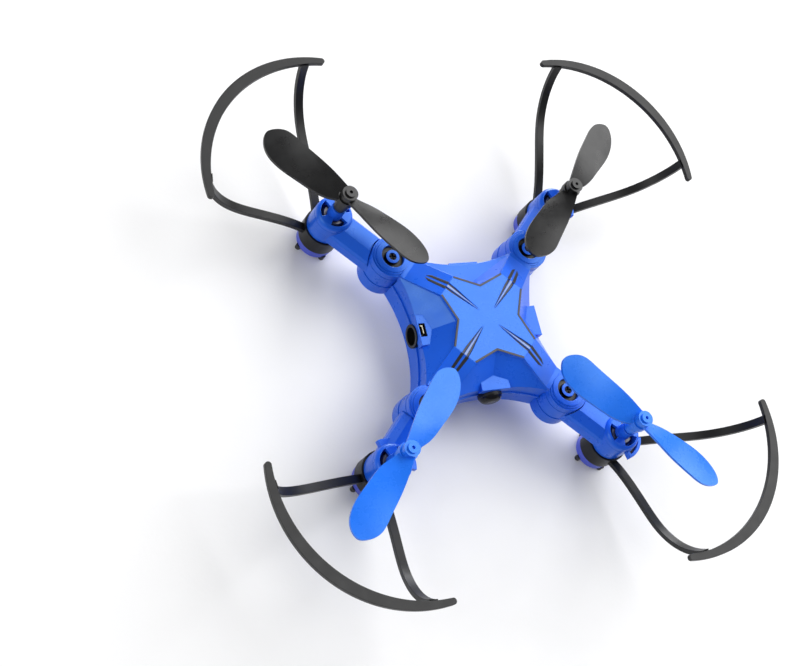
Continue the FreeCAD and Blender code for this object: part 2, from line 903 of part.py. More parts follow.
def make_guard(corner):
    """A clip round the pod's neck, two rising struts and the arc that shields the blades."""
    body = body_named("guard_" + corner)
    angle = math.radians(dim("guard_half_angle"))
    centre = FreeCAD.Vector(dim("guard_offset"), 0, 0)
    up = FreeCAD.Vector(0, 0, 1)
    outer = dim("guard_outer")
    # the inner edge is a larger circle set back towards the motor, so the band thins to its ends
    taper = dim("guard_taper")
    large = dim("guard_inner") + taper
    inner = math.sqrt(large**2 - (taper * math.sin(angle)) ** 2) - taper * math.cos(angle)
    band = sketch_on(body, "XY_Plane", "guard_top - guard_thick")
    band.addGeometry(Part.ArcOfCircle(Part.Circle(centre, up, outer), -angle, angle), False)
    set_back = Part.Circle(centre - FreeCAD.Vector(taper, 0, 0), up, large)
    turn = math.asin(inner * math.sin(angle) / large)
    band.addGeometry(Part.ArcOfCircle(set_back, -turn, turn), False)
    middle = (inner + outer) / 2
    for way in (-1, 1):
        side = FreeCAD.Vector(math.cos(angle), way * math.sin(angle), 0)
        along = FreeCAD.Vector(-math.sin(angle), way * math.cos(angle), 0)
        tip = centre + side * middle + along * (outer - inner) / 2
        ends = (centre + side * inner, centre + side * outer)
        start, stop = ends if way < 0 else (ends[1], ends[0])
        band.addGeometry(Part.Arc(start, tip, stop), False)
    pad(body, band, "guard_thick")
    for way in (-1, 1):
        strut(body, way * dim("strut_angle"))
    slab(
        body,
        "foot_top + clip_fit",
        "pod_bottom - clip_fit",
        lambda s: [
            add_circle(s, "0", "0", "clip_outer"),
            add_circle(s, "0", "0", "pod_neck + clip_fit"),
        ],
    )
    mouth = sketch_on(body, "XY_Plane", "foot_top")
    add_polygon(mouth, [("-2.5", "0"), ("-8", "3.2"), ("-8", "-3.2")])
    pocket(body, mouth, "pod_bottom - foot_top", Reversed=True)
    place(body, corner, "arm_length")


# a strut's rise: how far out from the motor's axis, and how high
STRUT_RISE = [
    (4.5, 6.6),
    (10.0, 9.5),
    (17.0, 11.9),
    (24.0, 14.6),
    (28.8, 18.6),
    (31.2, 22.4),
    (32.5, 26.5),
]


def strut(body, degrees):
    """A flat bar swept up from the clip to the underside of the arc."""
    path = sketch_on(body, "XZ_Plane", turn=degrees)
    curve = Part.BSplineCurve()
    curve.interpolate([FreeCAD.Vector(x, y, 0) for x, y in STRUT_RISE])
    path.addGeometry(curve, False)
    start = STRUT_RISE[0]
    ring = body.newObject("Sketcher::SketchObject", "Sketch")
    plane = next(f for f in body.Origin.OriginFeatures if f.Role == "YZ_Plane")
    ring.AttachmentSupport = [(plane, "")]
    ring.MapMode = "FlatFace"
    turn = math.radians(degrees)
    ring.AttachmentOffset = FreeCAD.Placement(
        FreeCAD.Vector(start[0] * math.sin(turn), start[1], start[0] * math.cos(turn)),
        FreeCAD.Rotation(FreeCAD.Vector(0, 1, 0), degrees),
    )
    add_box(
        ring, "-strut_width / 2", "strut_width / 2", "-strut_thick / 2", "strut_thick / 2"
    )
    pipe = body.newObject("PartDesign::AdditivePipe", "AdditivePipe")
    pipe.Profile = ring
    pipe.Spine = (path, ["Edge1"])
    doc.recompute()
    return pipe


# ---------------------------------------------------------------- propellers

# along one blade: distance out, leading edge and trailing edge
BLADE_EDGES = [
    (1.2, 1.6, 1.6),
    (5.0, 2.2, 3.15),
    (10.0, 2.8, 4.05),
    (16.0, 3.05, 4.6),
    (20.0, 2.75, 3.85),
]
# along one blade: distance out and how steeply the blade is set there
BLADE_PITCH = [(0.8, 28.5), (5.0, 25.5), (10.0, 17.0), (16.0, 14.0), (23.4, 13.0)]


def make_propeller(corner):
    """A two-bladed propeller: twisted slabs trimmed to the blades' outline, and a round hub."""
    degrees, clockwise = PROPELLERS[corner]
    lead = -1 if clockwise else 1
    body = body_named("propeller_" + corner)
    for blade in (0, 180):
        sections = []
        for out, pitch in BLADE_PITCH:
            section = body.newObject("Sketcher::SketchObject", "Section")
            plane = next(f for f in body.Origin.OriginFeatures if f.Role == "YZ_Plane")
            section.AttachmentSupport = [(plane, "")]
            section.MapMode = "FlatFace"
            flip = FreeCAD.Rotation(FreeCAD.Vector(0, 1, 0), blade)
            tilt = FreeCAD.Rotation(FreeCAD.Vector(0, 0, 1), lead * pitch)
            away = out if blade == 0 else -out
            section.AttachmentOffset = FreeCAD.Placement(
                FreeCAD.Vector(0, dim("blade_height"), away), flip.multiply(tilt)
            )
            thick = dim("blade_thick") / 2
            half = 6.5
            sag = 0.35
            corners = [
                FreeCAD.Vector(across, up, 0)
                for across, up in ((-half, -thick), (half, -thick), (half, thick), (-half, thick))
            ]
            crown = FreeCAD.Vector(0, thick + sag, 0)
            hollow = FreeCAD.Vector(0, sag - thick, 0)
            section.addGeometry(Part.LineSegment(corners[1], corners[2]), False)
            section.addGeometry(Part.LineSegment(corners[3], corners[0]), False)
            section.addGeometry(Part.Arc(corners[2], crown, corners[3]), False)
            section.addGeometry(Part.Arc(corners[1], hollow, corners[0]), False)
            sections.append(section)
        loft = body.newObject("PartDesign::AdditiveLoft", "AdditiveLoft")
        loft.Profile = sections[0]
        loft.Sections = sections[1:]
        doc.recompute()
    outline = sketch_on(body, "XY_Plane")
    edge = [(out, front) for out, front, rear in BLADE_EDGES]
    reach = dim("blade_reach")
    edge += [(reach - 0.6, 0.9), (reach, -0.3), (reach - 0.8, -2.3)]
    edge += [(out, -rear) for out, front, rear in reversed(BLADE_EDGES)]
    edge = [(x, lead * y) for x, y in edge]
    if clockwise:
        edge.reverse()
    edge += [(-x, -y) for x, y in edge]
    add_loop(outline, edge)
    add_circle(outline, "0", "0", "blade_reach + 6")
    feature(body, "Pocket", outline, Type=1, Midplane=True)
    # the hub: a skirt, a collar where the blades leave it, a barrel and a boss on top
    disc(body, "skirt_bottom", "hub_bottom", "hub_radius - 0.3")
    disc(body, "hub_bottom", "hub_top - 0.55", "hub_radius")
    disc(body, "blade_height - 1.0", "blade_height + 0.6", "hub_radius + 0.3")
    disc(body, "hub_top - 0.55", "hub_top", "hub_radius - 0.65")
    disc(body, "skirt_bottom", "shaft_top", "shaft_radius", cut=True)
    disc(body, "hub_top - 0.6", "hub_top", "0.4", cut=True)
    place(body, corner, "arm_length")
    body.Placement = FreeCAD.Placement(
        body.Placement.Base, FreeCAD.Rotation(FreeCAD.Vector(0, 0, 1), degrees)
    )
    shaft = body_named("shaft_" + corner)
    disc(shaft, "motor_bottom + 1.2", "shaft_top", "shaft_radius")
    place(shaft, corner, "arm_length")


def make_ports():
    """What sits in the four round ports: lens, charging socket, power switch and tail lamp."""
    lens = body_named("front_lens")
    sketch = sketch_on(lens, "XZ_Plane", "side_half - 1.6")
    add_circle(sketch, "0", "port_height", "port_radius")
    pad(lens, sketch, "4.2")
    ease(
        lens, "Fillet", "Radius", "1.7",
        lambda edge: edge.BoundBox.YMax < -dim("side_half") and edge.Length > 5,
    )
    socket = body_named("charge_socket")
    sketch = sketch_on(socket, "YZ_Plane", "-side_half - 1.0")
    add_circle(sketch, "0", "port_height", "port_radius")
    pad(socket, sketch, "3.0")
    sketch = sketch_on(socket, "YZ_Plane", "-side_half - 1.0")
    add_circle(sketch, "0", "port_height", "port_radius - 0.7")
    pocket(socket, sketch, "2.4", Reversed=True)
    tongue = body_named("charge_tongue")
    block(
        tongue, "port_height + port_radius + 0.05", "tab_top - 0.1", "-tab_edge + 0.6",
        "-tab_edge + 1.3", "-1.2", "1.2",
    )
    case = body_named("switch_case")
    sketch = sketch_on(case, "YZ_Plane", "side_half - 1.9")
    add_circle(sketch, "0", "port_height", "port_radius")
    pad(case, sketch, "1.9")
    sketch = sketch_on(case, "YZ_Plane", "side_half")
    add_box(sketch, "-1.9", "1.9", "port_height - 0.75", "port_height + 0.75")
    pocket(case, sketch, "1.3")
    slider = body_named("power_switch")
    block(
        slider, "port_height - 0.65", "port_height + 0.65", "side_half - 1.2", "side_half + 0.5",
        "-1.8", "-0.2",
    )
    lamp = body_named("tail_lamp")
    sketch = sketch_on(lamp, "XZ_Plane", "-side_half - 0.2")
    add_circle(sketch, "0", "port_height", "port_radius")
    pad(lamp, sketch, "2.0")
    ease(
        lamp, "Fillet", "Radius", "0.6",
        lambda edge: edge.BoundBox.YMin > dim("side_half") and edge.Length > 5,
    )


make_upper_shell()
make_lower_shell()
make_star_plate()
make_inside()
make_hinge_screws()
make_ports()
for corner, degrees in CORNERS:
    make_arm_lower(corner)
    make_arm_upper(corner)
    make_motor(corner)
    make_foot(corner)
    make_guard(corner)
    make_propeller(corner)

for thing in doc.Objects:
    if "Invalid" in thing.State or "Error" in thing.State:
        raise RuntimeError("%s failed to build: %s" % (thing.Label, thing.State))
os.makedirs("parts", exist_ok=True)
for thing in PARTS:
    if not thing.Shape.isValid():
        raise RuntimeError("%s has an invalid shape" % thing.Label)
    thing.Shape.exportStep("parts/%s.step" % thing.Label)
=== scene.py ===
import json
import math

import bmesh
import bpy
from mathutils import Euler, Matrix, Vector


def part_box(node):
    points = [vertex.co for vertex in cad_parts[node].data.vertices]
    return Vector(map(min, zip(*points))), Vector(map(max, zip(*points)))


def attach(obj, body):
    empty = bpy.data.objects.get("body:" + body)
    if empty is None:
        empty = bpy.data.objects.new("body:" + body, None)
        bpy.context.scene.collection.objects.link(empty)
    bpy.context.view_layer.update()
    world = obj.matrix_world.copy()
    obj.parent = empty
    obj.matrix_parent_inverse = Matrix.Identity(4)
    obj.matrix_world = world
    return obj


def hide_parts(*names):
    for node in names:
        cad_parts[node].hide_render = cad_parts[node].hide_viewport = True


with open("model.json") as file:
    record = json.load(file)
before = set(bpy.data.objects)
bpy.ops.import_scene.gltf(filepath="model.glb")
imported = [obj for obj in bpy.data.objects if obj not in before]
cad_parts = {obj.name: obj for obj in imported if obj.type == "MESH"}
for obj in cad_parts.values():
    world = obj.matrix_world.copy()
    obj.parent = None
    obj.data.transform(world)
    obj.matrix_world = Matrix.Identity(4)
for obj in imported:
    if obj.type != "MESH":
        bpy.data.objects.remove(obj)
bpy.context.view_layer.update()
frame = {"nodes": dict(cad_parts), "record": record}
NODES = frame["nodes"]
# each corner's direction from the drone's middle, in degrees
CORNERS = {"rear_left": 45.0, "rear_right": 135.0, "front_right": 225.0, "front_left": 315.0}
# from the drone's middle to a hinge, and from a hinge to the middle of its arm's pod
HINGE, ARM = 0.01815 * math.sqrt(2), 0.0165
# the slotted ears: the arm's corner, and how far round the pod the ear sits
SLOTTED_EARS = {"rear_left": -38.0, "front_left": 0.0}


def linear(red, green, blue):
    """A screen colour, 0 to 255, as the renderer's linear colour."""
    made = []
    for part in (red, green, blue):
        part /= 255.0
        made.append(part / 12.92 if part <= 0.04045 else ((part + 0.055) / 1.055) ** 2.4)
    return (*made, 1.0)


def shade(colour, amount):
    """A colour made darker or lighter."""
    return tuple(min(1.0, part * amount) for part in colour[:3]) + (1.0,)


# ---------------------------------------------------------------- materials

WHITE = (1.0, 1.0, 1.0, 1.0)
# the radii of moulded and of machined edges
EASED, MACHINED = 0.00018, 0.00012
# how deep the plastic's slow waves and the metal's drawn lines are
WAVE_DEPTH, LINE_DEPTH = 0.00001, 0.000006
# the Mix node's colour sockets
MIX_FIRST, MIX_SECOND, MIX_RESULT = 6, 7, 2


class Look:
    """One material, whose nodes work in the piece's own coordinates, in metres."""

    def __init__(self, name, **sockets):
        self.material = bpy.data.materials.new(name)
        self.material.use_nodes = True
        self.tree = self.material.node_tree
        self.shader = self.tree.nodes["Principled BSDF"]
        self.place = self.add("ShaderNodeTexCoord").outputs["Object"]
        for name, value in sockets.items():
            self.shader.inputs[name.replace("_", " ")].default_value = value

    def add(self, kind, **settings):
        node = self.tree.nodes.new(kind)
        for name, value in settings.items():
            setattr(node, name, value)
        return node

    def feed(self, socket, value):
        """Gives a socket a link or a plain value."""
        if isinstance(value, bpy.types.NodeSocket):
            self.tree.links.new(value, socket)
        else:
            socket.default_value = value

    def noise(self, scale, detail=3.0, rough=0.55, stretch=(1.0, 1.0, 1.0), turn=0.0):
        """Cloudy noise, drawn out one way if stretch says so."""
        mapping = self.add("ShaderNodeMapping")
        mapping.inputs["Scale"].default_value = stretch
        mapping.inputs["Rotation"].default_value = (0.0, 0.0, turn)
        self.feed(mapping.inputs["Vector"], self.place)
        node = self.add("ShaderNodeTexNoise")
        self.feed(node.inputs["Vector"], mapping.outputs["Vector"])
        node.inputs["Scale"].default_value = scale
        node.inputs["Detail"].default_value = detail
        node.inputs["Roughness"].default_value = rough
        return node.outputs["Fac"]

    def cells(self, scale):
        """The distance to the nearest border of a crazed pattern."""
        node = self.add("ShaderNodeTexVoronoi", feature="DISTANCE_TO_EDGE")
        self.feed(node.inputs["Vector"], self.place)
        node.inputs["Scale"].default_value = scale
        return node.outputs["Distance"]

    def fit(self, value, low, high, to_low, to_high):
        """Maps a range of a value onto another range."""
        node = self.add("ShaderNodeMapRange")
        names = ("Value", "From Min", "From Max", "To Min", "To Max")
        for name, given in zip(names, (value, low, high, to_low, to_high)):
            self.feed(node.inputs[name], given)
        return node.outputs["Result"]

    def sum(self, operation, first, second):
        """One step of arithmetic on two values."""
        node = self.add("ShaderNodeMath", operation=operation)
        self.feed(node.inputs[0], first)
        self.feed(node.inputs[1], second)
        return node.outputs[0]

    def blend(self, factor, first, second):
        """A mix of two colours."""
        node = self.add("ShaderNodeMix", data_type="RGBA")
        self.feed(node.inputs["Factor"], factor)
        self.feed(node.inputs[MIX_FIRST], first)
        self.feed(node.inputs[MIX_SECOND], second)
        return node.outputs[MIX_RESULT]

    def rounded(self, radius):
        """The surface's direction with its sharp edges eased."""
        node = self.add("ShaderNodeBevel", samples=6)
        node.inputs["Radius"].default_value = radius
        return node.outputs["Normal"]

    def edge(self, normal, full):
        """1 along sharp edges, 0 on open faces."""
        geometry = self.add("ShaderNodeNewGeometry")
        dot = self.add("ShaderNodeVectorMath", operation="DOT_PRODUCT")
        self.feed(dot.inputs[0], normal)
        self.feed(dot.inputs[1], geometry.outputs["True Normal"])
        return self.fit(dot.outputs["Value"], 1.0, 1.0 - full, 0.0, 1.0)

    def bumps(self, layers, normal=None):
        """Stacks height maps: each layer is a height and how deep it is in metres."""
        for height, depth in layers:
            node = self.add("ShaderNodeBump")
            node.inputs["Strength"].default_value = 1.0
            node.inputs["Distance"].default_value = depth
            self.feed(node.inputs["Height"], height)
            if normal:
                self.feed(node.inputs["Normal"], normal)
            normal = node.outputs["Normal"]
        self.feed(self.shader.inputs["Normal"], normal)

    def paint(self, colour, rough):
        self.feed(self.shader.inputs["Base Color"], colour)
        self.feed(self.shader.inputs["Roughness"], rough)


def plastic(
    name, colour, rough, grain, eased=EASED, worn=0.12, tint=WHITE, streak=0.05, ior=1.47
):
    """Moulded plastic: cloudy colour, flow marks, a fine grain and paler rubbed edges.

    With eased at 0, as on the thin blades, the edges are neither rounded nor rubbed.
    """
    look = Look(name, Specular_Tint=tint, IOR=ior)
    cloud = look.noise(55.0, 4.0, 0.6)
    flow = look.noise(140.0, 3.0, 0.5, stretch=(1.0, 0.22, 1.0), turn=0.6)
    fine = look.noise(2600.0, 2.0, 0.6)
    tone = look.blend(look.fit(cloud, 0.3, 0.7, 0.0, 1.0), shade(colour, 0.90), shade(colour, 1.08))
    tone = look.blend(look.fit(flow, 0.45, 0.75, 0.0, streak), tone, shade(colour, 1.5))
    haze = look.fit(look.noise(260.0, 5.0, 0.7), 0.35, 0.7, rough - 0.04, rough + 0.07)
    soft = None
    if eased:
        soft = look.rounded(eased)
        edge = look.edge(soft, 0.12)
        scuff = look.fit(look.noise(900.0, 4.0), 0.42, 0.62, 0.15, 1.0)
        rub = look.sum("MULTIPLY", edge, look.sum("MULTIPLY", scuff, worn))
        tone = look.blend(rub, tone, shade(colour, 2.2))
        haze = look.sum("ADD", haze, rub)
    look.paint(tone, haze)
    look.bumps([(cloud, WAVE_DEPTH), (fine, grain)], soft)
    return look.material


def metal(name, colour, rough, stretch):
    """Drawn or turned metal: fine lines one way, faint stains and bright edges."""
    look = Look(name, Metallic=1.0)
    lines = look.noise(900.0, 4.0, 0.65, stretch=stretch)
    stain = look.noise(180.0, 5.0, 0.6)
    soft = look.rounded(MACHINED)
    edge = look.edge(soft, 0.15)
    tone = look.blend(look.fit(stain, 0.35, 0.7, 0.0, 1.0), colour, shade(colour, 0.78))
    tone = look.blend(look.sum("MULTIPLY", edge, 0.6), tone, shade(colour, 1.35))
    look.paint(tone, look.fit(lines, 0.3, 0.7, rough - 0.08, rough + 0.12))
    look.bumps([(lines, LINE_DEPTH)], soft)
    return look.material


def board_look():
    """Green solder mask over faint copper tracks."""
    look = Look("board_green", Coat_Weight=0.4)
    tracks = look.add("ShaderNodeTexBrick")
    look.feed(tracks.inputs["Vector"], look.place)
    tracks.inputs["Scale"].default_value = 420.0
    tracks.inputs["Mortar Size"].default_value = 0.06
    mask = linear(18, 92, 48)
    tone = look.blend(look.fit(look.noise(300.0), 0.3, 0.7, 0.0, 1.0), mask, shade(mask, 0.7))
    tone = look.blend(tracks.outputs["Fac"], tone, linear(96, 150, 70))
    look.paint(tone, look.fit(look.noise(700.0), 0.3, 0.7, 0.25, 0.45))
    look.bumps([(tracks.outputs["Fac"], 0.00003)])
    return look.material


def foil_look():
    """The battery's wrapped pouch: silver foil with soft creases."""
    look = Look("battery_wrap", Metallic=0.7)
    crease = look.cells(160.0)
    tone = look.blend(look.noise(120.0), linear(176, 178, 184), linear(140, 142, 150))
    look.paint(tone, look.fit(look.noise(500.0), 0.3, 0.7, 0.22, 0.42))
    look.bumps([(crease, 0.0001), (look.noise(1500.0), 0.00001)])
    return look.material


def rubber_look():
    """Soft matt rubber with a fine tooth and a dusty bloom."""
    look = Look("pad_rubber", Sheen_Weight=0.2)
    dust = look.noise(600.0, 5.0)
    tone = look.blend(look.fit(dust, 0.45, 0.8, 0.0, 1.0), linear(24, 24, 25), linear(66, 65, 63))
    look.paint(tone, look.fit(dust, 0.3, 0.7, 0.7, 0.92))
    look.bumps([(look.noise(5200.0), 0.00002)])
    return look.material


def lens_look():
    """A dark camera lens: a glossy front over a ring-stepped barrel."""
    look = Look("lens_glass", Coat_Weight=0.05, Coat_Roughness=0.05, IOR=1.34)
    rings = look.add("ShaderNodeTexWave", wave_type="RINGS", rings_direction="Y")
    mapping = look.add("ShaderNodeMapping")
    low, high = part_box("front_lens")
    middle = (low + high) / 2
    mapping.inputs["Location"].default_value = (-middle.x, 0.0, -middle.z)
    look.feed(mapping.inputs["Vector"], look.place)
    look.feed(rings.inputs["Vector"], mapping.outputs["Vector"])
    rings.inputs["Scale"].default_value = 420.0
    tone = look.blend(rings.outputs["Fac"], linear(4, 4, 7), linear(14, 14, 20))
    look.paint(tone, look.fit(look.noise(900.0), 0.3, 0.7, 0.12, 0.22))
    look.bumps([(rings.outputs["Fac"], 0.00002)])
    return look.material


# the blue plastics keep their hue where they shine
BLUE_GLOSS = (0.42, 0.78, 1.0, 1.0)
BRIGHT = {"tint": BLUE_GLOSS, "ior": 1.58}
LOOKS = {
    "body_blue": plastic("body_blue", linear(26, 94, 224), 0.30, 0.000002, **BRIGHT),
    "star_blue": plastic("star_blue", linear(30, 100, 226), 0.28, 0.000002, **BRIGHT),
    "foot_blue": plastic("foot_blue", linear(84, 94, 206), 0.40, 0.000003, tint=BLUE_GLOSS),
    "prop_blue": plastic("prop_blue", linear(30, 110, 232), 0.27, 0.0000015, eased=0.0, **BRIGHT),
    "prop_black": plastic("prop_black", linear(20, 20, 21), 0.30, 0.000002, eased=0.0),
    "guard_black": plastic("guard_black", linear(20, 20, 21), 0.40, 0.000004, ior=1.38),
    "part_black": plastic("part_black", linear(16, 16, 17), 0.40, 0.000012, worn=0.2, streak=0.3),
    "switch_grey": plastic("switch_grey", linear(104, 104, 108), 0.38, 0.000012),
    "chip_black": plastic("chip_black", linear(28, 28, 30), 0.55, 0.000012),
    "lamp_red": plastic("lamp_red", linear(176, 20, 16), 0.16, 0.000002),
    "motor_steel": metal("motor_steel", linear(92, 92, 98), 0.38, (1.0, 1.0, 0.08)),
    "shaft_steel": metal("shaft_steel", linear(190, 190, 196), 0.22, (1.0, 1.0, 0.05)),
    "screw_steel": metal("screw_steel", linear(178, 178, 184), 0.30, (1.0, 0.2, 1.0)),
    "screw_black": metal("screw_black", linear(34, 34, 38), 0.30, (1.0, 0.2, 1.0)),
    "contact_gold": metal("contact_gold", linear(150, 146, 128), 0.4, (0.2, 1.0, 1.0)),
    "board_green": board_look(),
    "battery_wrap": foil_look(),
    "pad_rubber": rubber_look(),
    "lens_glass": lens_look(),
}
# the paint of the lines and ribs that are built below; the ribs' pale colour is a painted highlight
LINE_GREY = plastic("line_grey", linear(46, 46, 56), 0.42, 0.000006, worn=0.2)
# the black paints the lines, and is also painted shadow on the floors of the ears' slots
LINE_AND_SHADOW_BLACK = plastic("line_and_shadow_black", linear(8, 8, 10), 0.55, 0.000004, worn=0.05)
RIB_HIGHLIGHT = plastic("rib_painted_highlight", linear(128, 152, 206), 0.3, 0.000006, worn=0.2)

for part in frame["record"]["subparts"]:
    node = NODES[part["node"]]
    node.data.materials.clear()
    node.data.materials.append(LOOKS[part["material_slot"]])


# ---------------------------------------------------------------- pieces


def new_piece(name, mesh_maker, look, body="airframe"):
    """A piece built in mesh code, riding on a body."""
    made = bmesh.new()
    mesh_maker(made)
    bmesh.ops.recalc_face_normals(made, faces=made.faces)
    mesh = bpy.data.meshes.new(name)
    made.to_mesh(mesh)
    made.free()
    piece = bpy.data.objects.new(name, mesh)
    bpy.context.scene.collection.objects.link(piece)
    mesh.materials.append(look)
    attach(piece, body)
    return piece


def prism(mesh, outline, low, highs):
    """A solid on an outline of (x, y) points: a flat bottom, and a height for each top point."""
    bottom = [mesh.verts.new((x, y, low)) for x, y in outline]
    top = [mesh.verts.new((x, y, high)) for (x, y), high in zip(outline, highs)]
    mesh.faces.new(top)
    mesh.faces.new(list(reversed(bottom)))
    count = len(outline)
    for number in range(count):
        after = (number + 1) % count
        mesh.faces.new((bottom[number], bottom[after], top[after], top[number]))


def slab(mesh, outline, low, high):
    """A solid with a flat bottom and a flat top."""
    prism(mesh, outline, low, [high] * len(outline))


def sweep(mesh, rows, closed=True):
    """Joins each row of points to the next. An open sweep gets a face at each end."""
    size = len(rows[0])
    for step in range(len(rows) if closed else len(rows) - 1):
        here, after = rows[step], rows[(step + 1) % len(rows)]
        for number in range(size):
            following = (number + 1) % size
            mesh.faces.new((here[number], here[following], after[following], after[number]))
    if not closed:
        mesh.faces.new(rows[0])
        mesh.faces.new(list(reversed(rows[-1])))


def turned(points, degrees):
    """Points turned about Z."""
    turn = Matrix.Rotation(math.radians(degrees), 2)
    return [tuple(turn @ Vector(point)) for point in points]


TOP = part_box("star_plate")[1].z
# how far the thin pieces on the star reach down into it
SUNK = 0.0002
# the star's valleys and tips from its middle, and half a blunt tip's width in degrees
VALLEY, TIP, SPREAD = 0.00818, 0.01237, 14.7


def star_line(mesh):
    """The dark line that runs along the star's edges, but not across its blunt tips."""
    wide, proud = 0.00048, 0.00004
    valley_wide = wide * 1.15
    for base in (0, 90, 180, 270):
        valley = Vector((VALLEY, 0.0))
        for way in (1, -1):
            angle = math.radians(45 - SPREAD) * way
            tip = Vector((TIP * math.cos(angle), TIP * math.sin(angle)))
            along = (tip - valley).normalized()
            across = Vector((-along.y, along.x)) * wide * way
            band = [valley, tip, tip + across, valley - Vector((valley_wide, 0.0))]
            slab(mesh, turned(band, base), TOP - SUNK, TOP + proud)


new_piece("star_edge_line", star_line, LINE_GREY)


def dart_highlight_ribs(mesh):
    """The pale rib between each pair of dart lines; its pale colour is a painted highlight along
    the ridge.
    """
    rib = [(0.0031, 0.0), (0.0120, 0.00030), (0.0120, -0.00030)]
    proud = 0.00005
    for corner in CORNERS.values():
        slab(mesh, turned(rib, corner), TOP - SUNK, TOP + proud)


new_piece("star_dart_highlight_ribs", dart_highlight_ribs, RIB_HIGHLIGHT)


def dart_lines(mesh):
    """The dark paint on the floors of the star's dart grooves."""
    line = [(0.0027, 0.00014), (0.01185, 0.00037), (0.01185, 0.00090), (0.0100, 0.00083)]
    bottom, top = TOP - 0.0003, TOP - 0.00022
    for corner in CORNERS.values():
        for way in (1, -1):
            outline = [(x, y * way) for x, y in line]
            slab(mesh, turned(outline, corner), bottom, top)


new_piece("star_dart_lines", dart_lines, LINE_GREY)


def neck_lines(mesh):
    """The black paint in and round the grooves that run on down each sloping neck."""
    line = [(0.01205, 0.00030), (0.01715, 0.00026), (0.01608, 0.00092), (0.01205, 0.00110)]
    # where the neck starts to slope, how steeply it falls, and how far the paint stands proud
    start, fall, proud = 0.01197, 0.448, 0.00002
    bottom = TOP - 0.0026
    for corner in CORNERS.values():
        for way in (1, -1):
            flat = [(x, y * way) for x, y in line]
            heights = [TOP - (x - start) * fall + proud for x, y in flat]
            prism(mesh, turned(flat, corner), bottom, heights)


new_piece("neck_dart_lines", neck_lines, LINE_AND_SHADOW_BLACK)


def contact_clip(mesh):
    """The folded contact strip that shows in the slit over the charging socket."""
    low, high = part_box("charge_tongue")
    wall, leg_end = 0.0003, low.y * 0.7
    outline = [
        (low.x, high.y),
        (high.x, high.y),
        (high.x, leg_end),
        (high.x - wall, leg_end),
        (high.x - wall, high.y - wall),
        (low.x, high.y - wall),
    ]
    slab(mesh, outline, low.z, high.z)


clip = new_piece("charge_contact_strip", contact_clip, LOOKS["contact_gold"])
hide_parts("charge_tongue")


def slit_lining(mesh):
    """The black sleeve inside the slit."""
    low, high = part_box("charge_tongue")
    left, right, side = low.x - 0.00028, high.x + 0.00058, 0.00158
    thin, bottom = 0.00006, 0.01325
    for x0, x1, y0, y1 in (
        (left, left + thin, -side, side),
        (right - thin, right, -side, side),
        (left, right, -side, -side + thin),
        (left, right, side - thin, side),
    ):
        slab(mesh, [(x0, y0), (x1, y0), (x1, y1), (x0, y1)], bottom, high.z)


new_piece("charge_slit_lining", slit_lining, LOOKS["part_black"])


def lens_ring(mesh):
    """A stepped bezel round the front lens, turned about its axis."""
    low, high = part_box("front_lens")
    centre_z = (low.z + high.z) / 2
    # the bezel's section: from the lens's axis, and forward of the drone's middle
    profile = [
        (0.00236, 0.0155),
        (0.00236, 0.0163),
        (0.00252, 0.0166),
        (0.00272, 0.0166),
        (0.00288, 0.0163),
        (0.00288, 0.0155),
    ]
    count = 64
    rows = []
    for step in range(count):
        angle = 2 * math.pi * step / count
        across, up = math.cos(angle), math.sin(angle)
        places = [(radius * across, -out, centre_z + radius * up) for radius, out in profile]
        rows.append([mesh.verts.new(place) for place in places])
    sweep(mesh, rows)


new_piece("front_lens_bezel", lens_ring, LOOKS["part_black"])


def flat_ring(mesh, centre, inner, outer, low, high, start=0.0, stop=360.0):
    """A flat ring round an (x, y) centre, or a piece of one between two angles."""
    fewest, step_angle = 6, 7.5
    count = max(fewest, int((stop - start) / step_angle))
    whole = stop - start >= 360.0
    middle = Vector((*centre, 0.0))
    rows = []
    for step in range(count if whole else count + 1):
        angle = math.radians(start + (stop - start) * step / count)
        way = Vector((math.cos(angle), math.sin(angle), 0.0))
        section = ((inner, low), (outer, low), (outer, high), (inner, high))
        places = [middle + way * radius + Vector((0.0, 0.0, height)) for radius, height in section]
        rows.append([mesh.verts.new(place) for place in places])
    sweep(mesh, rows, whole)


def hinge_shadow_rings(mesh):
    """A black ring round each hinge screw's head: painted shadow for the dark gap round the head.
    """
    inner, outer, low, high = 0.00174, 0.00276, 0.01461, 0.0149
    for angle in CORNERS.values():
        flat_ring(mesh, turned([(HINGE, 0.0)], angle)[0], inner, outer, low, high)


new_piece("hinge_shadow_rings", hinge_shadow_rings, LOOKS["part_black"])


def hinge_caps(mesh):
    """A blue ring pressed over each hinge screw's head."""
    inner, outer, low, high = 0.00092, 0.00164, 0.0154, 0.01565
    for angle in CORNERS.values():
        flat_ring(mesh, turned([(HINGE, 0.0)], angle)[0], inner, outer, low, high)


new_piece("hinge_screw_rings", hinge_caps, LOOKS["body_blue"])


def ear_shadow_sheet(corner):
    """A black sheet on the floor of the little slot in a pod's ear: painted shadow for the slot's
    shade.
    """
    inner, outer, low, high = 0.00472, 0.00533, 0.01241, 0.01262
    half = 23.5
    pod = turned([(HINGE + ARM, 0.0)], CORNERS[corner])[0]
    middle = CORNERS[corner] + SLOTTED_EARS[corner]
    return lambda mesh: flat_ring(
        mesh, pod, inner, outer, low, high, middle - half, middle + half
    )


# a painted shadow sheet in each slotted ear
for corner in SLOTTED_EARS:
    new_piece("ear_slot_painted_shadow_" + corner, ear_shadow_sheet(corner), LINE_AND_SHADOW_BLACK, "arm_" + corner)


def rounded_box(half_x, half_y, radius):
    """The outline of a rectangle with round corners."""
    steps = 6
    points = []
    for quarter, (side_x, side_y) in enumerate(((1, 1), (-1, 1), (-1, -1), (1, -1))):
        centre_x, centre_y = side_x * (half_x - radius), side_y * (half_y - radius)
        for step in range(steps + 1):
            angle = math.radians(90 * quarter + 90 * step / steps)
            x = centre_x + radius * math.cos(angle)
            y = centre_y + radius * math.sin(angle)
            points.append((x, y))
    return points


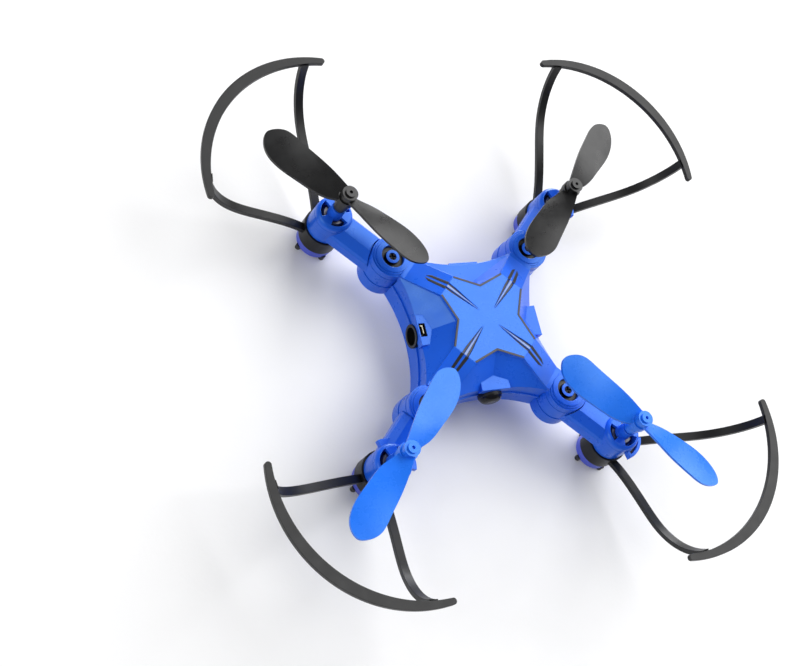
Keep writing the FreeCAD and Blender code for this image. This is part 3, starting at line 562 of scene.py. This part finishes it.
def door_seam(mesh):
    """The dark seam round the battery door, and its thumb notch, on the underside."""
    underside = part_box("lower_shell")[0].z
    low, high = underside - 0.00002, underside + 0.00005
    half_x, half_y, radius, wide = 0.0074, 0.0118, 0.0014, 0.00028
    outer = rounded_box(half_x, half_y, radius)
    inner = rounded_box(half_x - wide, half_y - wide, radius - wide)
    rows = []
    for (outer_x, outer_y), (inner_x, inner_y) in zip(outer, inner):
        outside, inside = (outer_x, outer_y), (inner_x, inner_y)
        places = ((*outside, low), (*outside, high), (*inside, high), (*inside, low))
        rows.append([mesh.verts.new(place) for place in places])
    sweep(mesh, rows)
    notch_inner, notch_outer = 0.0017, 0.0021
    flat_ring(mesh, (0.0, -half_y + wide), notch_inner, notch_outer, low, high, 0.0, 180.0)


new_piece("battery_door_seam", door_seam, LINE_GREY)


def switch_ribs(mesh):
    """The three grip ribs on the power switch."""
    low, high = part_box("power_switch")
    face, depth, wide, margin = high.x, 0.00016, 0.00022, 0.00015
    crest = wide * 0.4
    count = 3
    for number in range(count):
        middle = low.y + (high.y - low.y) * (number + 0.5) / count
        rib = [
            (face - depth, middle - wide),
            (face + depth, middle - crest),
            (face + depth, middle + crest),
            (face - depth, middle + wide),
        ]
        slab(mesh, rib, low.z + margin, high.z - margin)


new_piece("power_switch_ribs", switch_ribs, LOOKS["switch_grey"], "switch")


# ---------------------------------------------------------------- floor, light and camera


def floor():
    """The pale paper that the drone stands on."""
    mesh = bpy.data.meshes.new("floor")
    size = 3.0
    corners = [(-size, -size, 0), (size, -size, 0), (size, size, 0), (-size, size, 0)]
    mesh.from_pydata(corners, [], [(0, 1, 2, 3)])
    piece = bpy.data.objects.new("floor", mesh)
    bpy.context.scene.collection.objects.link(piece)
    look = Look("floor_paper")
    look.paint(
        look.blend(look.noise(30.0), linear(240, 240, 240), linear(236, 236, 237)),
        look.fit(look.noise(200.0), 0.3, 0.7, 0.55, 0.7),
    )
    look.bumps([(look.noise(900.0), 0.00002)])
    mesh.materials.append(look.material)


def softbox(name, at, power, size):
    """A square white light aimed at the drone."""
    lamp = bpy.data.lights.new(name, "AREA")
    lamp.energy = power
    lamp.size = size
    thing = bpy.data.objects.new(name, lamp)
    bpy.context.scene.collection.objects.link(thing)
    thing.location = at
    aim = DRONE_MIDDLE - Vector(at)
    thing.rotation_euler = aim.to_track_quat("-Z", "Y").to_euler()


DRONE_MIDDLE = Vector((0.0, 0.0, 0.01))
floor()
softbox("overhead", (0.69, 0.207, 0.897), 17.0, 1.2)
softbox("left", (-0.79, -0.06, 0.58), 3.2, 0.5)
softbox("rim", (0.40, 0.90, 0.13), 9.0, 0.4)
world = bpy.data.worlds.new("studio")
bpy.context.scene.world = world
world.use_nodes = True
background = world.node_tree.nodes["Background"]
background.inputs["Color"].default_value = WHITE
background.inputs["Strength"].default_value = 0.24

camera = bpy.data.cameras.new("camera")
camera.lens = 63.22
camera.sensor_width = 36.0
camera.clip_start = 0.01
viewer = bpy.data.objects.new("camera", camera)
bpy.context.scene.collection.objects.link(viewer)
# the camera's place, and its turns about X, Y and Z in degrees
PLACE = Vector((-0.15761, -0.09456, 0.27809))
TURNS = (23.682, -22.316, -14.24)
aim = Euler([math.radians(angle) for angle in TURNS])
viewer.matrix_world = Matrix.LocRotScale(PLACE, aim, None)
bpy.context.scene.camera = viewer
bpy.context.scene.view_settings.view_transform = "Standard"
